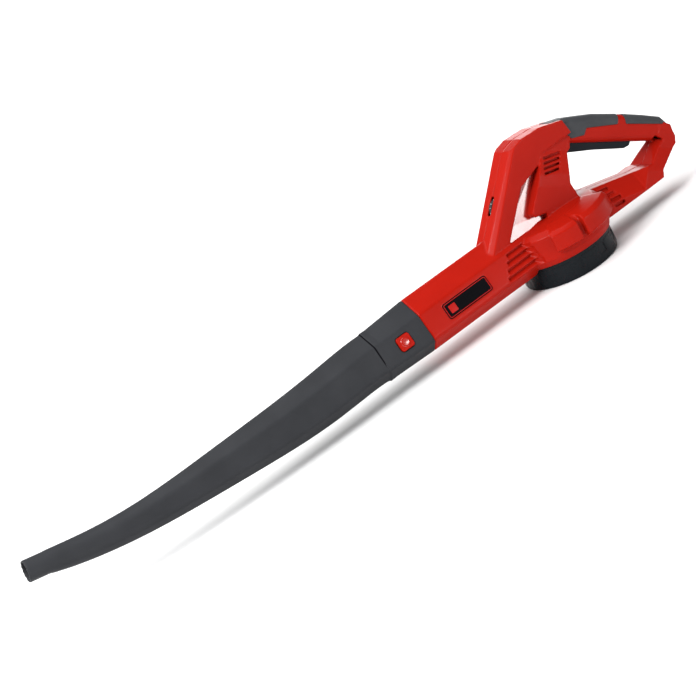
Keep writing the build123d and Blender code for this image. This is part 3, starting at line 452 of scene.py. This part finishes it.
def make_plate_details(mats):
    """The plate's thin red border and its plain square."""
    low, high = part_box("name_plate")
    length = high.x - low.x
    place = side_plane((low + high) / 2 + SIDE_OUT * PLATE_HALF_THICK)
    inset, wide = 2 * BORDER_INSET, 2 * (BORDER_INSET + BORDER_WIDE)
    outer = rounded_ring(length - inset, PLATE_HIGH - inset, BORDER_CORNER[0])
    inner = rounded_ring(length - wide, PLATE_HIGH - wide, BORDER_CORNER[1])
    levels = ((outer, BURIED), (outer, BORDER_RISE), (inner, BORDER_RISE), (inner, BURIED))
    border = hoop([[place @ Vector((x, y, height)) for x, y in outline] for outline, height in levels])
    add_piece("plate_border", border, mats["emblem_red"])
    square = rounded_ring(EMBLEM_SIDE, EMBLEM_SIDE, EMBLEM_CORNER)
    tile = [(x - length / 2 + EMBLEM_FROM_END, y) for x, y in square]
    add_piece("plate_emblem", raised_pad(place, tile, BURIED, EMBLEM_RISE, EMBLEM_EASE), mats["emblem_red"])


# ---------------------------------------------------------------- latch button
BUTTON_FACE_Y, BUTTON_FACE_Z = -26.2 * MM, 52.5 * MM
DOME_R, DOME_FOOT, DOME_EDGE, DOME_RISE = 5.6 * MM, -0.5 * MM, 0.5 * MM, 1.1 * MM
DOME_RINGS, DOME_STEPS = 8, 48


def make_button_details(mats):
    """The round thumb pad in the middle of the latch button."""
    low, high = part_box("latch_button")
    place = side_plane(Vector(((low.x + high.x) / 2, BUTTON_FACE_Y, BUTTON_FACE_Z)))
    levels = [(DOME_R, DOME_FOOT), (DOME_R, DOME_EDGE)]
    for k in range(1, DOME_RINGS):
        a = radians(90 * k / DOME_RINGS)
        levels.append((DOME_R * cos(a * 0.999), DOME_EDGE + DOME_RISE * sin(a)))
    bm = bmesh.new()
    rings = [[bm.verts.new(place @ Vector((x, y, height))) for x, y in circle(radius, DOME_STEPS)]
             for radius, height in levels]
    skin(bm, rings)
    for ring, height in ((rings[0], DOME_FOOT), (rings[-1], DOME_EDGE + DOME_RISE)):
        tip = bm.verts.new(place @ Vector((0, 0, height)))
        for k in range(DOME_STEPS):
            bm.faces.new((tip, ring[k], ring[(k + 1) % DOME_STEPS]))
    add_piece("latch_button_dome", bm, mats["red_gloss"], "latch_button")


# ---------------------------------------------------------------- speed dial
MARKS, MARK_PITCH = 6, radians(24)
MARK_LONG, MARK_NARROW, MARK_GROWTH, MARK_CORNER = 2.4 * MM, 0.6 * MM, 0.22 * MM, 0.25 * MM
MARK_SUNK, MARK_BOTTOM, MARK_TOP, MARK_EASE = 0.25 * MM, -0.5 * MM, 0.2 * MM, 0.08 * MM


def make_dial_marks(mats):
    """Pale marks round the speed dial's rim, wider for each step of speed."""
    low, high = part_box("speed_dial")
    centre, radius = (low + high) / 2, (high.x - low.x) / 2
    across = Vector((0, 1, 0))
    front = Vector((-sin(COLUMN_ANGLE), 0, cos(COLUMN_ANGLE)))
    for k in range(MARKS):
        normal = Matrix.Rotation(MARK_PITCH * (k - (MARKS - 1) / 2), 3, "Y") @ front
        axes = Matrix((across, across.cross(normal), normal)).transposed().to_4x4()
        place = Matrix.Translation(centre + normal * (radius - MARK_SUNK)) @ axes
        outline = rounded_ring(MARK_LONG, MARK_NARROW + MARK_GROWTH * k, MARK_CORNER, 3)
        mark = raised_pad(place, outline, MARK_BOTTOM, MARK_TOP, MARK_EASE)
        add_piece(f"dial_mark_{k + 1}", mark, mats["mark_pale"], "speed_dial")


# ---------------------------------------------------------------- recess between column and tower
WEB_OUTLINE = [(-80, 62), (-60, 85), (-24, 120), (14, 132), (20, 120), (0, 75), (0, 62)]     # (x, z) in mm
WEB_TOP, WEB_FACE, WEB_BACK, WEB_SLOPE = 121.0, 9.05, 8.45, 0.176


def make_web_facets(mats):
    """The slanted faces in the recess between the column and the tower, on both sides."""
    for name, side in (("web_facet_left", -1), ("web_facet_right", 1)):
        inner = [Vector((x, side * WEB_BACK, z)) * MM for x, z in WEB_OUTLINE]
        outer = [Vector((x, side * (WEB_FACE + WEB_SLOPE * max(WEB_TOP - z, 0.0)), z)) * MM
                 for x, z in WEB_OUTLINE]
        add_piece(name, solid([inner, outer]), mats["red_gloss"], smooth=False)


# ---------------------------------------------------------------- front edge of the tube's sleeve
SLEEVE_FRONT = -274.5 * MM
SLEEVE_BEHIND, TUBE_AHEAD = 3.0 * MM, 6.0 * MM      # where the sections of the sleeve and the tube are taken
RIM_PROFILE = ((9.0, -0.8), (9.0, 0.0), (7.0, 0.25), (0.5, 0.45), (0.0, 0.15), (0.0, -2.0))
LINE_PROFILE = ((0.1, -0.8), (0.1, 0.12), (-1.5, 0.12), (-1.5, -0.8))     # both (along, out) in mm
SECTION_STEPS = 240


def tube_section(x):
    """The height of the blow tube's middle at one x, and its outer radius at even angles round it."""
    tube = nodes["blow_tube"]
    bm = bmesh.new()
    bm.from_mesh(tube.data)
    bmesh.ops.transform(bm, matrix=tube.matrix_world, verts=bm.verts)
    everything = bm.verts[:] + bm.edges[:] + bm.faces[:]
    cut = bmesh.ops.bisect_plane(bm, geom=everything, plane_co=(x, 0, 0), plane_no=(1, 0, 0))["geom_cut"]
    lines = [[Vector((v.co.y, v.co.z)) for v in e.verts] for e in cut if isinstance(e, bmesh.types.BMEdge)]
    middle_z = sum(p.y for line in lines for p in line) / (2 * len(lines))
    centre = Vector((0.0, middle_z))
    radii = []
    for ray in map(Vector, circle(1.0, SECTION_STEPS)):
        across = Vector((-ray.y, ray.x))
        reach = 0.0
        for a, b in lines:
            da, db = (a - centre).dot(across), (b - centre).dot(across)
            if (da > 0) != (db > 0):
                hit = a + (b - a) * (da / (da - db))
                reach = max(reach, (hit - centre).dot(ray))
        radii.append(reach)
    bm.free()
    return middle_z, radii


def sleeve_band(name, section_x, profile, material):
    """A closed band round the tube, following its section at one x."""
    middle_z, radii = tube_section(section_x)
    rings = []
    for along, rise in profile:
        ring = []
        for (y, z), radius in zip(circle(1.0, len(radii)), radii):
            reach = radius + rise * MM
            ring.append((SLEEVE_FRONT + along * MM, reach * y, middle_z + reach * z))
        rings.append(ring)
    add_piece(name, hoop(rings), material, creased=True)


def make_sleeve_step(mats):
    """The edge of the tube's thick sleeve, and a painted shadow in front of it: a black band on the tube
    where the step's shade falls.
    """
    sleeve_band("sleeve_rim", SLEEVE_FRONT + SLEEVE_BEHIND, RIM_PROFILE, mats["black_tube"])
    # Painted shadow: a thin band of the plate's black laid on the tube just in front of the sleeve step
    sleeve_band("sleeve_painted_shadow", SLEEVE_FRONT - TUBE_AHEAD, LINE_PROFILE, mats["plate_black"])


# ---------------------------------------------------------------- intake ring
RING_TILES, TILE_SWEEP, TILE_STEPS, FIRST_TILE = 10, radians(24), 10, radians(12)
TILE_FOOT, TILE_HEAD, TILE_RISE, TILE_END, TILE_ROOT = 3.0 * MM, 4.5 * MM, 0.45 * MM, -0.1 * MM, -0.6 * MM


def make_ring_pads(mats):
    """Shallow raised tiles round the intake ring's wall."""
    low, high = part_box("intake_ring")
    centre, radius = (low + high) / 2, (high.x - low.x) / 2
    foot, head, root = low.z + TILE_FOOT, high.z - TILE_HEAD, radius + TILE_ROOT
    for tile in range(RING_TILES):
        rings = []
        for k in range(TILE_STEPS + 1):
            a = 2 * pi * tile / RING_TILES + FIRST_TILE + TILE_SWEEP * (k / TILE_STEPS - 0.5)
            rim = radius + (TILE_RISE if 0 < k < TILE_STEPS else TILE_END)
            corners = ((root, foot), (rim, foot), (rim, head), (root, head))
            rings.append([(centre.x + r * cos(a), centre.y + r * sin(a), z) for r, z in corners])
        add_piece(f"ring_pad_{tile + 1}", solid(rings), mats["ring_black"], creased=True)


# ---------------------------------------------------------------- walls behind the slots
TOWER_WALL = [(16.5, 131.0), (42.5, 125.0), (31.0, 108.5), (7.0, 114.0)]     # (x, z), in mm as all here
TOWER_WALL_Y = (16.4, 17.0)
BEAM_WALL_X = (62.0, 91.0)
BEAM_WALL = ((13.5975, 62.0, 55.5), (24.2, 42.5, 36.0), (24.2, 32.5, 31.0))     # (y, front z, rear z)
BEAM_WALL_THICK = 0.6


def make_vent_backings(mats):
    """Walls close behind the slots of the tower and the beam, on both sides."""
    front, rear = BEAM_WALL_X
    for side, hand in ((-1, "left"), (1, "right")):
        sheet = [[Vector((x, side * y, z)) * MM for x, z in TOWER_WALL] for y in TOWER_WALL_Y]
        add_piece(f"tower_vent_wall_{hand}", solid(sheet), mats["red_shell"], smooth=False)
        strip = []
        for y, z_front, z_rear in BEAM_WALL:
            outer, inner = side * y, side * (y - BEAM_WALL_THICK)
            row = ((front, outer, z_front), (rear, outer, z_rear),
                   (rear, inner, z_rear), (front, inner, z_front))
            strip.append([Vector(p) * MM for p in row])
        add_piece(f"beam_vent_wall_{hand}", solid(strip), mats["red_shell"], smooth=False)


# ---------------------------------------------------------------- the whole
def dress_nodes(mats):
    """Gives each CAD node its finish."""
    for slot, names in SLOT_OF.items():
        for name in names:
            nodes[name].data.materials.clear()
            nodes[name].data.materials.append(mats[slot])


def main():
    make_camera()
    make_sky()
    make_lights()
    make_floor()
    mats = make_materials()
    dress_nodes(mats)
    soften_all()
    make_plate_details(mats)
    make_button_details(mats)
    make_dial_marks(mats)
    make_web_facets(mats)
    make_sleeve_step(mats)
    make_ring_pads(mats)
    make_vent_backings(mats)


main()
